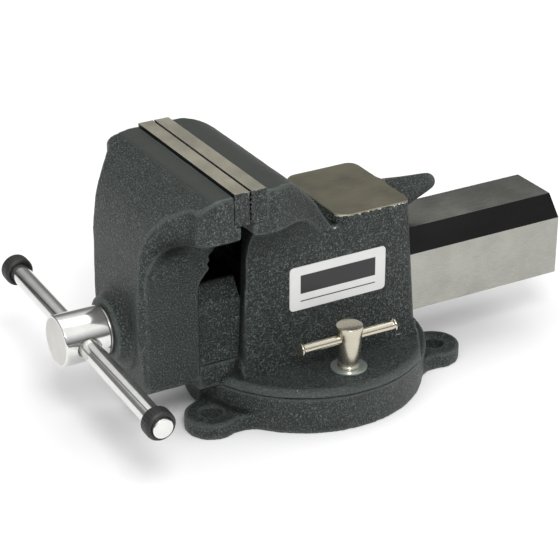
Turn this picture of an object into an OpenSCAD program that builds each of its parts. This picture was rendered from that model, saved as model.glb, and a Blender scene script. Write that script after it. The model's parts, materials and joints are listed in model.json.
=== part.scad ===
// Bench vise with a swivel base, a T-slot lock, pipe jaws, an anvil and a horn.
// Origin: the swivel axis at bench level. -X is the handle end, +X the rear, +Z is up.

/* [Jaws] */
// Width of the jaws
jaw_w = 100; // [96:1:110]
// Height of the top of the jaw plates above the bench
jaw_top = 134.5; // [134:0.5:137]
// Thickness of one jaw plate
plate_t = 8.2; // [7:0.1:9]
// Height of the jaw plates
plate_h = 16.5; // [16:0.5:17]
// Distance of each plate screw from the middle of the jaw
screw_y = 32; // [28:1:36]

/* [Castings] */
// Half of the width of the fixed body
body_hw = 28.2; // [27.6:0.1:29]
// Half of the width of the front jaw's neck
neck_hw = 27; // [26:0.1:28]
// Height of the anvil face above the bench
anvil_z = 98.9; // [97:0.1:100]
// Furthest reach of the horn behind the swivel axis
horn_tip_x = 78.4; // [74:0.1:82]

/* [Slide bar] */
// Half of the width of the slide bar
bar_hw = 23.1; // [22.5:0.1:23.5]
// Rear end of the slide bar with the jaws closed
bar_end_x = 142.5; // [130:0.5:150]

/* [Spindle] */
// Height of the spindle above the bench
spindle_z = 54.2; // [53.8:0.1:54.6]
// Radius of the screw
screw_r = 9; // [8.5:0.1:9.2]
// Radius of the spindle's head
head_r = 12.8; // [12:0.1:14]
// Radius of the handle bar
handle_r = 5; // [4.5:0.1:5.5]
// Length of the handle bar
handle_len = 171; // [150:1:180]
// Tilt of the handle at rest, in degrees
handle_tilt = 2.9; // [0:0.1:5]

/* [Swivel base] */
// Radius of the base at its top
base_r = 63.5; // [63:0.1:65]
// Height of the base
base_h = 20.2; // [20:0.1:20.3]
// Distance of each bench bolt hole from the swivel axis
lug_hole_at = 71; // [70:0.5:74]
// Radius of each bench bolt hole
lug_hole_r = 5.5; // [4.5:0.1:6.5]
// Thickness of each lug
lug_h = 8.5; // [7:0.5:10]
// Distance of each lock bolt from the swivel axis
lock_at = 45.8; // [45:0.1:46.5]

/* [Hidden] */

$fn = 64;
paint = "#474d4c";
machined = "#a39d8d";
polished = "#c3c4c4";
nickel = "#bdb09a";
zinc = "#aab3b1";
rubber = "#1c1c1d";
bronze = "#8a7a5c";
white = "#ecece8";

cut = 1;                    // how far a cutter runs past the face it opens
fit = 0.08;                 // radial running fit of a shaft in its bore
slide_gap = 0.25;           // clearance between the slide bar and its guide
jaw_gap = 0.3;              // gap between the jaw plates when closed
face_x = -57;               // middle of the closed jaw gap
jaw_hw = jaw_w / 2;
rear_seat_x = face_x + jaw_gap / 2 + plate_t;
front_seat_x = face_x - jaw_gap / 2 - plate_t;
plate_z = jaw_top - plate_h;
head_top = jaw_top - 1.5;   // castings stop a little below the plates
head_under = 110.5;         // underside of both jaw heads at their ends

flange_z = 20.5;
flange_top = 25;
flange_r = 64;
floor_z = 33.2;             // guide floor that the slide bar runs on
bar_z = floor_z + 0.3;
bar_top = 76.1;
bar_side_top = 65.5;        // top of the bar's upright sides, below the chamfer
bar_chamfer = 9;
neck_x = -72.7;             // rear of the front jaw's neck, where the bar starts
channel_hw = 13.5;          // half width of the hollow under the bar
channel_top = 67.5;
channel_x = -88;            // front end of the hollow, inside the front jaw
nose_x = -71.5;             // front end of the guide nose below the bar
nose_hw = 23;

boss_x = -110.9;            // front face of the spindle boss
head_x = -112.2;            // rear face of the spindle head
head_len = 23.8;
handle_x = head_x - head_len / 2;
screw_end_x = 110;
collar_x = -72;
collar_len = 10;
collar_r = 12;
pin_r = 2;
cap_len = 8;
cap_r = 7.5;
cap_inset = 1.5;            // how far the bar's ends stand out of their caps
handle_shift = -5;          // the handle rests pushed a little towards the near side
handle_drop = 0.6;          // the handle's bore lies a little below the spindle's axis

nut_x = [-40, 3];
nut_hw = 13.1;
nut_bolt_x = -20;
m8_r = 4;
m6_r = 3;
m6_head_r = 5;
m6_head_len = 3.2;
m6_len = 20;

pivot_r = 6;
recess_r = 13.5;
recess_h = 10.5;
pivot_washer_t = 1.8;
pivot_head_h = 7.5;
lug_angles = [200.8, -15.3, 92.75];
lug_end_r = 13.5;
lug_fillet = 14;
base_foot_r = base_r - 1.5;
slot_hw = 5.4;              // half width of the T-slot's mouth
slot_lip_z = 13;
slot_floor_z = 5;
slot_cavity_hw = 9.8;
lock_r = 5;
lock_washer_t = 1.2;
lock_bar_z = 42.2;
lock_bar_r = 2.5;
lock_bar_x = [-28, 26];

function arc(c, r, from, to, n = 8) =
    [for (i = [0:n]) let (a = from + (to - from) * i / n) c + r * [cos(a), sin(a)]];
// An outline mirrored in its second axis: the given half, then its mirror image
function both_sides(half) =
    concat(half, [for (i = [len(half) - 1:-1:0]) [-half[i][0], half[i][1]]]);
function flipped(half) =
    concat(half, [for (i = [len(half) - 1:-1:0]) [half[i][0], -half[i][1]]]);

// An X-Z outline, extruded half of w to each side of the middle plane
module across(outline, w) translate([0, w / 2, 0]) rotate([90, 0, 0]) linear_extrude(w) polygon(outline);
// A Y-Z outline, extruded from x0 to x1
module lengthwise(outline, x0, x1)
    translate([x0, 0, 0]) rotate([90, 0, 90]) linear_extrude(x1 - x0) polygon(outline);
// A cylinder along X
module rod(r, x0, x1, z = 0) translate([x0, 0, z]) rotate([0, 90, 0]) cylinder(h = x1 - x0, r = r);
module near_and_far(y) for (s = [-1, 1]) translate([0, s * y, 0]) children();
module at_lock(side) translate([0, side * lock_at, 0]) children();

/* --- base --- */

module lug_outline() {
    fillet_x = sqrt(pow(base_foot_r + lug_fillet, 2) - pow(lug_end_r + lug_fillet, 2));
    fillet_end = 180 + atan2(lug_end_r + lug_fillet, fillet_x);
    polygon(flipped(concat([[0, 10]],
        arc([fillet_x, lug_end_r + lug_fillet], lug_fillet, fillet_end, 270),
        arc([lug_hole_at, 0], lug_end_r, 90, 0))));
}

module swivel_base() {
    slot = [[lock_at - slot_hw, base_h + cut], [lock_at - slot_hw, slot_lip_z],
        [lock_at - slot_cavity_hw, slot_lip_z], [lock_at - slot_cavity_hw, slot_floor_z],
        [lock_at + slot_cavity_hw, slot_floor_z], [lock_at + slot_cavity_hw, slot_lip_z],
        [lock_at + slot_hw, slot_lip_z], [lock_at + slot_hw, base_h + cut]];
    color(paint) difference() {
        union() {
            cylinder(h = base_h, r1 = base_foot_r, r2 = base_r, $fn = 128);
            for (a = lug_angles) rotate(a) linear_extrude(lug_h) lug_outline();
        }
        rotate_extrude($fn = 128) polygon(slot);
        translate([0, 0, -cut]) cylinder(h = base_h + 2 * cut, r = pivot_r + fit);
        translate([0, 0, -cut]) cylinder(h = recess_h + cut, r = recess_r);
        for (a = lug_angles)
            rotate(a) translate([lug_hole_at, 0, -cut]) cylinder(h = lug_h + 2 * cut, r = lug_hole_r);
    }
}

module pivot_bolt() {
    head_z = recess_h - pivot_washer_t - pivot_head_h;
    color(zinc) union() {
        translate([0, 0, head_z]) cylinder(h = pivot_head_h, r = 10.97, $fn = 6);
        translate([0, 0, head_z + 1]) cylinder(h = floor_z - head_z - 1.4, r = pivot_r);
    }
}

module pivot_washer() {
    color(zinc) translate([0, 0, recess_h - pivot_washer_t]) difference() {
        cylinder(h = pivot_washer_t, r = 12.5);
        translate([0, 0, -cut]) cylinder(h = pivot_washer_t + 2 * cut, r = pivot_r + fit);
    }
}

/* --- swivel locks --- */

module lock_nut(side) {
    height = 6.3;
    color(zinc) at_lock(side) translate([0, 0, slot_lip_z - 0.5 - height]) difference() {
        translate([-9, -8, 0]) cube([18, 16, height]);
        translate([0, 0, -cut]) cylinder(h = height + 2 * cut, r = lock_r + fit);
    }
}

module lock_washer(side) {
    color(zinc) at_lock(side) translate([0, 0, flange_top]) difference() {
        cylinder(h = lock_washer_t, r = 9.2);
        translate([0, 0, -cut]) cylinder(h = lock_washer_t + 2 * cut, r = lock_r + fit);
    }
}

// The bolt is a turned piece: thread, collar, waisted post and domed top
module lock_bolt(side) {
    foot = flange_top + lock_washer_t + 0.05;
    color(nickel) at_lock(side) difference() {
        rotate_extrude() polygon(concat(
            [[0, 7], [lock_r, 7], [lock_r, foot], [5.9, foot], [5.9, foot + 1]],
            arc([6.8, foot + 2.4], 1.6, 240, 180, 4),
            [[5.1, 40], [6, 44.5], [6.2, 46.2]],
            arc([0, 27], 22, 72, 90, 6)));
        translate([-10, 0, lock_bar_z]) rotate([0, 90, 0]) cylinder(h = 20, r = lock_bar_r + fit);
    }
}

module lock_bar(side) {
    end_r = 3.5;
    end_len = 1.5;
    color(nickel) at_lock(side) translate([0, 0, lock_bar_z]) union() {
        rod(lock_bar_r, lock_bar_x[0], lock_bar_x[1]);
        rod(end_r, lock_bar_x[0], lock_bar_x[0] + end_len);
        rod(end_r, lock_bar_x[1] - end_len, lock_bar_x[1]);
    }
}

/* --- fixed jaw --- */

// Side view of the whole fixed casting: front face, plate ledge, head, notch, anvil and rear
function fixed_side() = concat(
    [[-50.9, flange_z], [-50.4, 34], [-48.3, 84], [-47.8, 98]],
    arc([-52.8, 106], 5, 0, 90, 5),
    arc([-53.4, 113], 2, 270, 180, 4),
    arc([-54.2, plate_z - 1.2], 1.2, 180, 90, 4),
    [[rear_seat_x, plate_z], [rear_seat_x, head_top]],
    arc([-42, head_top - 22], 22, 82, 44, 6),
    [[-18.2, 118.5], [-9.9, 109.6]],
    arc([1.8, 96.4], 2.6, 210, 300, 5),
    [[4.1, anvil_z - 1], [4.8, anvil_z], [46, anvil_z], [52.2, flange_top], [52.4, flange_z]]);

// Front view of the fixed casting's head, with a hollow curve under each end
function fixed_front() = let (r = jaw_hw - body_hw) both_sides(concat(
    [[body_hw, 60]], arc([jaw_hw, head_under - r], r, 180, 90), [[jaw_hw, jaw_top]]));

// Top view of the head: full width at the plate, then a long taper into the body's sides
function fixed_plan() = flipped(concat(
    [[-60, jaw_hw], [-43, jaw_hw]],
    arc([-43, jaw_hw - 5], 5, 90, 60, 4),
    [[-30, jaw_hw - 6], [-21, jaw_hw - 12.4], [-14, jaw_hw - 17.6], [-8.5, jaw_hw - 20.6]],
    [[-4, body_hw], [50, body_hw]]));

module body_plan() {
    corner = 4.5;
    x0 = -51;
    x1 = 52.5;
    polygon(flipped(concat(arc([x0 + corner, body_hw - corner], corner, 180, 90, 5),
        arc([x1 - corner, body_hw - corner], corner, 90, 0, 5))));
}

// Toothed pad below the rear jaw plate; pipe is gripped between it and the front neck
module rear_pipe_jaw() {
    across([[-46, 80], [-48.4, 84.3], [-52.1, 87.2], [-50.2, 89.3], [-51.8, 92.2], [-50, 94.2],
        [-51.4, 97], [-50.4, 100], [-51.2, 105], [-51.2, 111], [-46, 111]], 2 * 22);
}

// Round at the front; its rear tapers into the upright corners of the body
module flange() intersection() {
    rotate_extrude($fn = 128) polygon(concat([[0, flange_z], [flange_r - 1, flange_z]],
        arc([flange_r - 1, flange_z + 1], 1, 270, 360, 3), arc([flange_r - 3, flange_top - 3], 3, 0, 90, 6),
        [[0, flange_top]]));
    linear_extrude(flange_top) polygon(flipped([[-70, 70], [28.6, 70], [52.4, body_hw]]));
}

// A blunt cone that rises a little towards its tip
module horn() {
    rise = 8.3;
    root_r = 10.6;
    tip_r = 4.4;
    reach = horn_tip_x - 46;
    translate([46, 0, 88.2]) rotate([0, 90 - rise, 0]) rotate_extrude() polygon(concat(
        [[0, -14], [root_r, -14], [root_r, 0]],
        arc([0, reach - tip_r], tip_r, 14, 90, 6)));
}

// Hollow fillet where the body's long sides meet the flange
module foot_fillet() {
    r = 5;
    profile = both_sides(concat([[0, flange_top - 1], [body_hw + r, flange_top - 1]],
        arc([body_hw + r, flange_top + r], r, 270, 180, 6), [[0, flange_top + r]]));
    intersection() {
        lengthwise(profile, -50.4, 51.8);
        cylinder(h = 40, r = flange_r - 3);
        linear_extrude(40) polygon(flipped([[-70, 70], [27.4, 70], [51.2, body_hw]]));
    }
}

// The slide bar's guide, cut through the whole body
module guide_cutter() {
    g = slide_gap;
    w = bar_hw + g;
    lengthwise(both_sides([[w, floor_z], [w, bar_side_top + g / 2],
        [bar_hw - bar_chamfer + g, bar_top + g]]), -100, 100);
}

module plate_screw_holes(x0, x1) near_and_far(screw_y)
    translate([0, 0, plate_z + plate_h / 2]) rod(m6_r + 0.05, x0, x1);

module fixed_jaw_casting() {
    color(paint) difference() {
        union() {
            flange();
            foot_fillet();
            intersection() {
                across(fixed_side(), 2 * body_hw);
                linear_extrude(jaw_top) body_plan();
            }
            intersection() {
                across(fixed_side(), jaw_w);
                lengthwise(fixed_front(), -60, 50);
                linear_extrude(jaw_top) polygon(fixed_plan());
            }
            rear_pipe_jaw();
            horn();
            translate([nose_x, -nose_hw, flange_z]) cube([40, 2 * nose_hw, floor_z - flange_z]);
        }
        guide_cutter();
        plate_screw_holes(rear_seat_x - cut, face_x + m6_len + cut);
        near_and_far(lock_at) translate([0, 0, flange_z - cut]) cylinder(h = 20, r = lock_r + fit);
        translate([0, 0, flange_z - cut]) cylinder(h = 20, r = pivot_r + 0.05);
        translate([nut_bolt_x, 0, flange_z - cut]) cylinder(h = 20, r = m8_r + 0.05);
        translate([nut_bolt_x, 0, flange_z - cut]) cylinder(h = 6.5 + cut, r = 7);
    }
}

module jaw_plate(x0, face) {
    pocket_x = face < x0 + 1 ? face - cut : face - m6_head_len - 0.5;
    difference() {
        translate([x0, -jaw_hw, plate_z]) cube([plate_t, jaw_w, plate_h]);
        plate_screw_holes(x0 - cut, x0 + plate_t + cut);
        near_and_far(screw_y) translate([0, 0, plate_z + plate_h / 2])
            rod(m6_head_r + 0.3, pocket_x, pocket_x + m6_head_len + 0.5 + cut);
    }
}

// Socket screws that hold one jaw plate; dir is +1 when they point to the rear
module plate_screws(face, dir) near_and_far(screw_y)
    translate([face, 0, plate_z + plate_h / 2]) mirror([dir > 0 ? 0 : 1, 0, 0]) difference() {
        union() {
            rod(m6_head_r, 0.5, 0.5 + m6_head_len);
            rod(m6_r, 0.5 + m6_head_len - 0.2, m6_len);
        }
        rotate([0, 90, 0]) cylinder(h = 2.4, r = 2.6, $fn = 6);
    }

module rear_jaw_plate() color(machined) jaw_plate(face_x + jaw_gap / 2, face_x + jaw_gap / 2);
module rear_plate_screws() color(zinc) plate_screws(face_x + jaw_gap / 2, 1);

module label_plate() {
    t = 0.6;
    r = 3;
    w = 55;
    h = 23.5;
    translate([-24, -body_hw, 54]) rotate([90, 0, 0]) color(white) linear_extrude(t)
        polygon(concat(arc([r, r], r, 180, 270, 4), arc([w - r, r], r, 270, 360, 4),
            arc([w - r, h - r], r, 0, 90, 4), arc([r, h - r], r, 90, 180, 4)));
}

module spindle_nut() {
    shoulder = 6;
    color(bronze) difference() {
        lengthwise(both_sides([[nut_hw, floor_z], [nut_hw, 60.5], [nut_hw - shoulder, 60.5 + shoulder]]),
            nut_x[0], nut_x[1]);
        rod(screw_r + fit, nut_x[0] - cut, nut_x[1] + cut, spindle_z);
        translate([nut_bolt_x, 0, floor_z - cut]) cylinder(h = 12, r = m8_r + 0.05);
    }
}

module nut_bolt() {
    color(zinc) translate([nut_bolt_x, 0, 0]) difference() {
        union() {
            translate([0, 0, flange_z + 0.5]) cylinder(h = 6, r = 6.5);
            translate([0, 0, flange_z + 6]) cylinder(h = 17, r = m8_r);
        }
        translate([0, 0, flange_z]) cylinder(h = 4, r = 3.9, $fn = 6);
    }
}

/* --- front jaw and slide bar --- */

// Side view of the front jaw: bowed front, flat top, plate ledge, toothed neck and foot
function sliding_side() = concat(
    [[-102, 27.5], [-104.7, 58.5], [-104.1, 78.4], [-103.1, 99.7]],
    [[-102, 105.8], [-100, 112.2], [-97, 117.9], [-92.5, 123.2], [-86.5, 127.8], [-80, 131],
        [-74, 132.6], [-70, head_top]],
    [[front_seat_x, head_top], [front_seat_x, plate_z]],
    arc([-62.9, plate_z - 1.4], 1.2, 90, 0, 4),
    arc([-62.7, 112.6], 1, 0, -60, 3),
    [[-64, 105], [-65.9, 98.2], [-68, 94.8], [-66.3, 92.6], [-68, 90.5], [-66.5, 88.4],
        [-67, 87], [-71, 82.3], [neck_x, 79], [neck_x, 27.5]]);

function sliding_front() = let (r = jaw_hw - neck_hw) both_sides(concat(
    [[neck_hw - 5, 20], [neck_hw, 30]], arc([jaw_hw, head_under - r], r, 180, 90), [[jaw_hw, jaw_top]]));

function sliding_plan() = flipped(concat(
    arc([-100.2, neck_hw - 5.5], 4.5, 180, 120, 4),
    [[-93, neck_hw + 7.5], [-85, jaw_hw - 6.5]],
    arc([-80, jaw_hw - 4.5], 4.5, 150, 90, 4),
    [[-60, jaw_hw]]));

module boss() rod_profile(concat([[0, -100], [20.8, -100], [20.8, -104.3]],
    arc([21.4, -109.4], 4.9, 100, 175, 5), [[16.3, boss_x + 0.6], [15.7, boss_x], [0, boss_x]]));

// An outline of [radius, x] pairs turned about the spindle's axis
module rod_profile(outline) translate([0, 0, spindle_z]) rotate([0, 90, 0]) rotate_extrude() polygon(outline);

module slide_bar() lengthwise(both_sides([[bar_hw, bar_z], [bar_hw, bar_side_top],
    [bar_hw - bar_chamfer, bar_top]]), neck_x - cut, bar_end_x);

module sliding_jaw_casting() {
    color(paint) difference() {
        union() {
            intersection() {
                across(sliding_side(), jaw_w);
                lengthwise(sliding_front(), -110, -60);
                linear_extrude(jaw_top) polygon(sliding_plan());
            }
            boss();
            slide_bar();
        }
        lengthwise(both_sides([[channel_hw, 20], [channel_hw, channel_top - 4],
            [channel_hw - 4, channel_top]]), channel_x, bar_end_x + cut);
        rod(screw_r + fit, boss_x - cut, channel_x + cut, spindle_z);
        plate_screw_holes(face_x - m6_len - cut, front_seat_x + cut);
    }
}

module front_jaw_plate() color(machined) jaw_plate(front_seat_x, face_x - jaw_gap / 2);
module front_plate_screws() color(zinc) plate_screws(face_x - jaw_gap / 2, -1);

/* --- spindle --- */

module handle_frame()
    translate([handle_x, 0, spindle_z - handle_drop]) rotate([handle_tilt, 0, 0]) children();
module along_handle(y0) translate([0, y0, 0]) rotate([-90, 0, 0]) children();

module spindle() {
    edge = 1;
    color(polished) difference() {
        union() {
            rod_profile([[0, head_x], [head_r - edge, head_x], [head_r, head_x - edge],
                [head_r, head_x - head_len + edge], [head_r - edge, head_x - head_len],
                [0, head_x - head_len]]);
            rod(screw_r, head_x - cut, screw_end_x, spindle_z);
        }
        handle_frame() along_handle(-20) cylinder(h = 40, r = handle_r + fit);
        translate([collar_x + collar_len / 2, 0, spindle_z - 20]) cylinder(h = 40, r = pin_r);
    }
}

module ring(r_out, r_in, x0, x1) difference() {
    rod(r_out, x0, x1, spindle_z);
    rod(r_in, x0 - cut, x1 + cut, spindle_z);
}

module thrust_washer() color(zinc) ring(12, screw_r + fit, head_x, boss_x - 0.1);
module spring_washer() color(zinc) ring(12.4, screw_r + fit, channel_x, channel_x + 1.5);

module retaining_collar() {
    color(zinc) difference() {
        ring(collar_r, screw_r, collar_x, collar_x + collar_len);
        translate([collar_x + collar_len / 2, 0, spindle_z - 20]) cylinder(h = 40, r = pin_r);
    }
}

module collar_pin() color(zinc)
    translate([collar_x + collar_len / 2, 0, spindle_z - collar_r + 0.5]) cylinder(h = 23, r = pin_r);

// A coil of round wire swept by its own formula
module spindle_spring() {
    wire_r = 0.9;
    coil_r = 10.5;
    turns = 4;
    sides = 8;
    steps = 24 * turns;
    x0 = channel_x + 1.6 + wire_r;
    x1 = collar_x - 0.1 - wire_r;
    points = [for (i = [0:steps], j = [0:sides - 1])
        let (a = 360 * turns * i / steps, b = 360 * j / sides, r = coil_r + wire_r * cos(b))
        [x0 + (x1 - x0) * i / steps + wire_r * sin(b), r * cos(a), spindle_z + r * sin(a)]];
    walls = [for (i = [0:steps - 1], j = [0:sides - 1])
        let (k = (j + 1) % sides)
        [i * sides + j, (i + 1) * sides + j, (i + 1) * sides + k, i * sides + k]];
    first_end = [for (j = [0:sides - 1]) j];
    last_end = [for (j = [sides - 1:-1:0]) steps * sides + j];
    color(zinc) polyhedron(points, concat(walls, [first_end, last_end]));
}

module handle_bar() color(polished)
    handle_frame() along_handle(handle_shift - handle_len / 2) cylinder(h = handle_len, r = handle_r);

module handle_cap(side) {
    lip = 1.2;
    y0 = handle_shift + side * (handle_len / 2 - cap_len / 2 - cap_inset) - cap_len / 2;
    color(rubber) handle_frame() along_handle(y0) rotate_extrude() polygon([[handle_r, 0],
        [cap_r - lip, 0], [cap_r, lip], [cap_r, cap_len - lip], [cap_r - lip, cap_len],
        [handle_r, cap_len]]);
}

swivel_base();
fixed_jaw_casting();
rear_jaw_plate();
rear_plate_screws();
spindle_nut();
nut_bolt();
pivot_bolt();
pivot_washer();
label_plate();
lock_nut(-1);  // lock_nut_near
lock_nut(1);  // lock_nut_far
lock_washer(-1);  // lock_washer_near
lock_washer(1);  // lock_washer_far
lock_bolt(-1);  // lock_bolt_near
lock_bolt(1);  // lock_bolt_far
lock_bar(-1);  // lock_bar_near
lock_bar(1);  // lock_bar_far
sliding_jaw_casting();
front_jaw_plate();
front_plate_screws();
spring_washer();
spindle();
thrust_washer();
spindle_spring();
retaining_collar();
collar_pin();
handle_bar();
handle_cap(-1);  // handle_cap_near
handle_cap(1);  // handle_cap_far
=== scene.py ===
"""Looks of the bench vise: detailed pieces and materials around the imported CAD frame."""
import json
import math

import bmesh
import bpy
import numpy as np
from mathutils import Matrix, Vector, noise


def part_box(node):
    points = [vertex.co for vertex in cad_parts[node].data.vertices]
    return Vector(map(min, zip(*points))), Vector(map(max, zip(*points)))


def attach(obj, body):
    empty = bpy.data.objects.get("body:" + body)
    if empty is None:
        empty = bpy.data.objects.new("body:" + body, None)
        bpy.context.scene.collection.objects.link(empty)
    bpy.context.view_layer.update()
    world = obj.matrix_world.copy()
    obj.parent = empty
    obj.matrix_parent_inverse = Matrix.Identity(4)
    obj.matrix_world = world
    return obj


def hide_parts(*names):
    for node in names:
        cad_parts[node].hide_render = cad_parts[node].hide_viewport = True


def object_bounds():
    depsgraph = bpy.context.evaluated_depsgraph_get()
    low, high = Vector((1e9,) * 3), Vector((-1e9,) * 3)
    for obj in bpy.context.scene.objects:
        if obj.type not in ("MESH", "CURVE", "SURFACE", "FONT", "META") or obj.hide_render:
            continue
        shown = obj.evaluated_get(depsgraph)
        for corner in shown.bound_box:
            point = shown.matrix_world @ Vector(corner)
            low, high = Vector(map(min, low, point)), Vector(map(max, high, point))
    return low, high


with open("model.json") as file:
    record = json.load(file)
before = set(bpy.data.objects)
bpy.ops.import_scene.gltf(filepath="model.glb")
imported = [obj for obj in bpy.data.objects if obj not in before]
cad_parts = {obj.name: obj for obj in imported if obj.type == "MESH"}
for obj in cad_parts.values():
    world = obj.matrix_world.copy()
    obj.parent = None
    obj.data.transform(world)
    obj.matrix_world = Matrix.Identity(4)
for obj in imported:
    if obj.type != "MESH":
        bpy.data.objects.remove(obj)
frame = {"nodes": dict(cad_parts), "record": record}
cad_low, cad_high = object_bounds()

MM = 0.001
X, Z = Vector((1, 0, 0)), Vector((0, 0, 1))

# Castings
VOXEL = 0.8 * MM              # grid that the cast surfaces are rebuilt on
CAST_FACES = 180_000          # most triangles in one casting
PLAIN_SMOOTHING = 5           # rounds of smoothing that turn hard edges into cast ones
DETAILED_SMOOTHING = 4
KEPT_CRISP = 0.85             # share of the smoothing that teeth are spared
WAVE_HEIGHT = 0.16 * MM       # how far a cast wall strays from flat
WAVE_LENGTH = 9 * MM
EDGE_RADIUS = 2.2 * MM        # curves tighter than this count as edges in the paint
ANVIL_EDGE = 0.4 * MM         # chamfer round the machined anvil
PAINTED_BAR_END = -44 * MM    # the slide bar is machined behind this X

# Where features of the castings lie
MOUNTS = {mount["name"]: Vector(mount["pos_m"]) for mount in frame["record"]["mounts"]}
ANVIL_TOP = MOUNTS["anvil_face"].z
ANVIL_FRONT, ANVIL_REAR = 4 * MM, 46 * MM
FLANGE_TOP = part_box("lock_washer_near")[0].z
BODY_SIDE = abs(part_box("label_plate")[1].y)
HEAD_UNDERSIDE = 112 * MM     # the jaw heads end here, above the throat
RIM_RADIUS = 62.3 * MM        # of the flange's rounded upper edge
NOTCH_X, NOTCH_Z = 1.8 * MM, 94 * MM
NECK_X, NECK_Z = -65.5 * MM, 98 * MM
HOLLOW_X, HOLLOW_Z = -88 * MM, 104.5 * MM

# Turned and machined pieces
SCREW_R = 9 * MM
THREAD_LEAD = 4 * MM
THREAD_DEPTH = 2 * MM
SERRATION_PITCH = 2.4 * MM
SERRATION_DEPTH = 0.5 * MM
SHANK_R = 5 * MM              # of the lock bolts below their posts
LOCK_BAR_R = 2.5 * MM

# Colours
PAINT_DARK = (0.014, 0.020, 0.0175, 1)
PAINT_LIGHT = (0.022, 0.030, 0.0265, 1)
# bright specks of the grain, partly painted glints of light
PAINT_GRAIN_GLINT = (0.150, 0.185, 0.175, 1)
# painted highlight along outer edges
PAINT_EDGE_HIGHLIGHT = (0.085, 0.105, 0.100, 1)
# dark of the grain's pits, and painted shade in inner corners
PAINT_PIT_AND_SHADE = (0.002, 0.003, 0.003, 1)
PAINT_SMOOTH = (0.024, 0.029, 0.024, 1)
# black of the painted shade in the throat and the hollows
SHADE_BLACK = (0.001, 0.001, 0.001, 1)
BARE_METAL = (0.62, 0.60, 0.55, 1)
BLACK_PAINT = (0.003, 0.003, 0.003, 1)
BLACK_PAINT_WORN = (0.008, 0.008, 0.008, 1)
RUBBER_DARK = (0.006, 0.006, 0.006, 1)
RUBBER_LIGHT = (0.018, 0.017, 0.016, 1)
LABEL_WHITE = (0.64, 0.64, 0.63, 1)
LABEL_SHADE = (0.60, 0.60, 0.59, 1)
LABEL_INK = (0.010, 0.010, 0.010, 1)
FLOOR_DARK = (0.90, 0.90, 0.90, 1)
FLOOR_LIGHT = (0.92, 0.92, 0.92, 1)

# Sizes of the paint's patterns
GRAIN = 0.75 * MM
FINE_GRAIN = 0.4 * MM
GRAIN_HEIGHT = 1.9 * MM
CLOUD = 22 * MM
CHIP = 1.7 * MM

# How the marks of machining are drawn out along the axes
ANVIL_MARKS = (0.08, 1, 1)
BAR_MARKS = (0.06, 1, 1)
PLATE_MARKS = (1, 0.08, 1)
EVEN_MARKS = (1, 1, 1)

# Studio
FLOOR_HALF = 40               # far enough that the floor's edge is never seen
LAMP_TARGET = Vector((0, 0, 0.05))


# ---------------------------------------------------------------- meshes

def new_object(name, bm, material=None):
    """A linked object made from a bmesh, which is freed."""
    mesh = bpy.data.meshes.new(name)
    bm.to_mesh(mesh)
    bm.free()
    obj = bpy.data.objects.new(name, mesh)
    bpy.context.scene.collection.objects.link(obj)
    if material:
        mesh.materials.append(material)
    return obj


def shade(obj, angle=32):
    """Smooth shading with a crease wherever two faces meet at more than the angle."""
    obj.data.shade_smooth()
    obj.data.set_sharp_from_angle(angle=math.radians(angle))
    return obj


def finish_piece(obj, body, slot, *nodes):
    """Rides a finished piece on its body and hides the CAD nodes that it stands for."""
    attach(obj, body)
    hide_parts(*nodes)
    return obj


def apply_modifiers(obj):
    """Makes the mesh that the modifiers show the object's own."""
    graph = bpy.context.evaluated_depsgraph_get()
    mesh = bpy.data.meshes.new_from_object(obj.evaluated_get(graph))
    obj.modifiers.clear()
    obj.data = mesh


def cad_copy(node):
    """A bmesh of a CAD node, with the vertices joined that its sharp edges had split."""
    source = frame["nodes"][node].data
    bm = bmesh.new()
    verts = [bm.verts.new(v.co) for v in source.vertices]
    for polygon in source.polygons:
        bm.faces.new([verts[i] for i in polygon.vertices])
    bmesh.ops.remove_doubles(bm, verts=bm.verts, dist=0.002 * MM)
    bmesh.ops.recalc_face_normals(bm, faces=bm.faces)
    return bm


def rounded(points, radius, steps=3, closed=False):
    """The outline with each corner turned into a short curve; ends of an open one stay."""
    out = []
    count = len(points)
    for i, corner in enumerate(points):
        if not closed and i in (0, count - 1):
            out.append(Vector(corner))
            continue
        corner = Vector(corner)
        before = Vector(points[i - 1]) - corner
        after = Vector(points[(i + 1) % count]) - corner
        reach = min(radius, before.length * 0.45, after.length * 0.45)
        start, end = corner + before.normalized() * reach, corner + after.normalized() * reach
        for k in range(steps + 1):
            t = k / steps
            out.append(start * (1 - t) ** 2 + corner * 2 * t * (1 - t) + end * t * t)
    return out


def lathe(profile, centre, axis, sides=72):
    """A bmesh turned from (radius, distance along the axis) points. Radius 0 closes an end."""
    bm = bmesh.new()
    turn = axis.normalized().to_track_quat("Z", "Y")
    rings = []
    for radius, along in profile:
        if radius < 1e-7:
            rings.append([bm.verts.new(centre + turn @ Vector((0, 0, along)))])
            continue
        ring = []
        for k in range(sides):
            a = 2 * math.pi * k / sides
            point = Vector((radius * math.cos(a), radius * math.sin(a), along))
            ring.append(bm.verts.new(centre + turn @ point))
        rings.append(ring)
    for low, high in zip(rings, rings[1:]):
        for k in range(sides):
            n = k + 1
            quad = [low[k % len(low)], low[n % len(low)], high[n % len(high)], high[k % len(high)]]
            bm.faces.new(list(dict.fromkeys(quad)))
    bmesh.ops.recalc_face_normals(bm, faces=bm.faces)
    return bm


def ring_profile(r_in, r_out, low, high, edge):
    """A closed (radius, along) loop for a washer or sleeve, its corners rounded."""
    corners = [(r_in, low), (r_out, low), (r_out, high), (r_in, high)]
    loop = rounded(corners, edge, steps=2, closed=True)
    return loop + loop[:1]


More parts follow.
